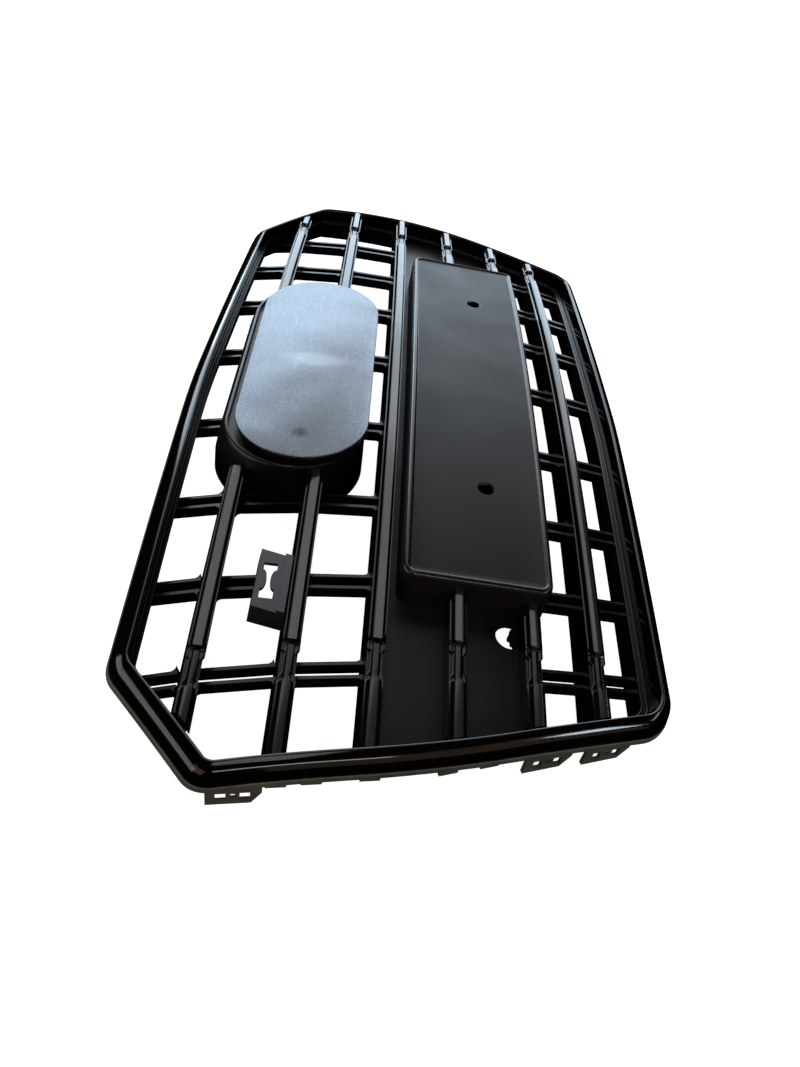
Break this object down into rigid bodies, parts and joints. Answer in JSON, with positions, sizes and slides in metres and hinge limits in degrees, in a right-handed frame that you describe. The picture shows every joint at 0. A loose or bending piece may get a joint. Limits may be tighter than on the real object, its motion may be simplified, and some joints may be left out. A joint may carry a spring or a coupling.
{
  "type": "front grille",
  "caption": "Bowed radiator grille: gloss surround, trimmed horizontal bars on a slatted lattice, emblem seat with blank cover, and number-plate plinth.",
  "frame": {"origin": "centre of the footprint, on the plane the part rests on", "axes": "lying on its back, face up: +X across the car, +Y up the grille towards the hood, +Z out of the face"},
  "size_m": [0.8718, 0.4338, 0.0853],
  "materials": {
    "gloss_surround": "piano black",
    "carrier": "fine grain olive black",
    "lattice": "matte black",
    "bar_trim": "piano black",
    "panel": "matte black",
    "plinth": "satin black",
    "emblem_seat": "satin black",
    "cover": "satin grey with fine scratches"
  },
  "bodies": {
    "root": {"surround_trim": "gloss_surround", "carrier_frame": "carrier", "web_1": "lattice", "web_2": "lattice", "web_3": "lattice", "web_4": "lattice", "web_5": "lattice", "web_6": "lattice", "trim_1": "bar_trim", "trim_2": "bar_trim", "trim_3": "bar_trim", "trim_4": "bar_trim", "trim_5": "bar_trim", "trim_6": "bar_trim", "rungs_top": "lattice", "rungs_upper": "lattice", "rungs_middle": "lattice", "rungs_lower": "lattice", "rungs_foot": "lattice", "back_panel": "panel", "sensor_holder": "panel", "plate_plinth": "plinth", "emblem_base": "emblem_seat", "emblem_rim": "emblem_seat", "emblem_cover": "cover", "badge_clip": "panel", "side_tabs": "carrier", "snap_lugs": "carrier"}
  },
  "joints": []
}
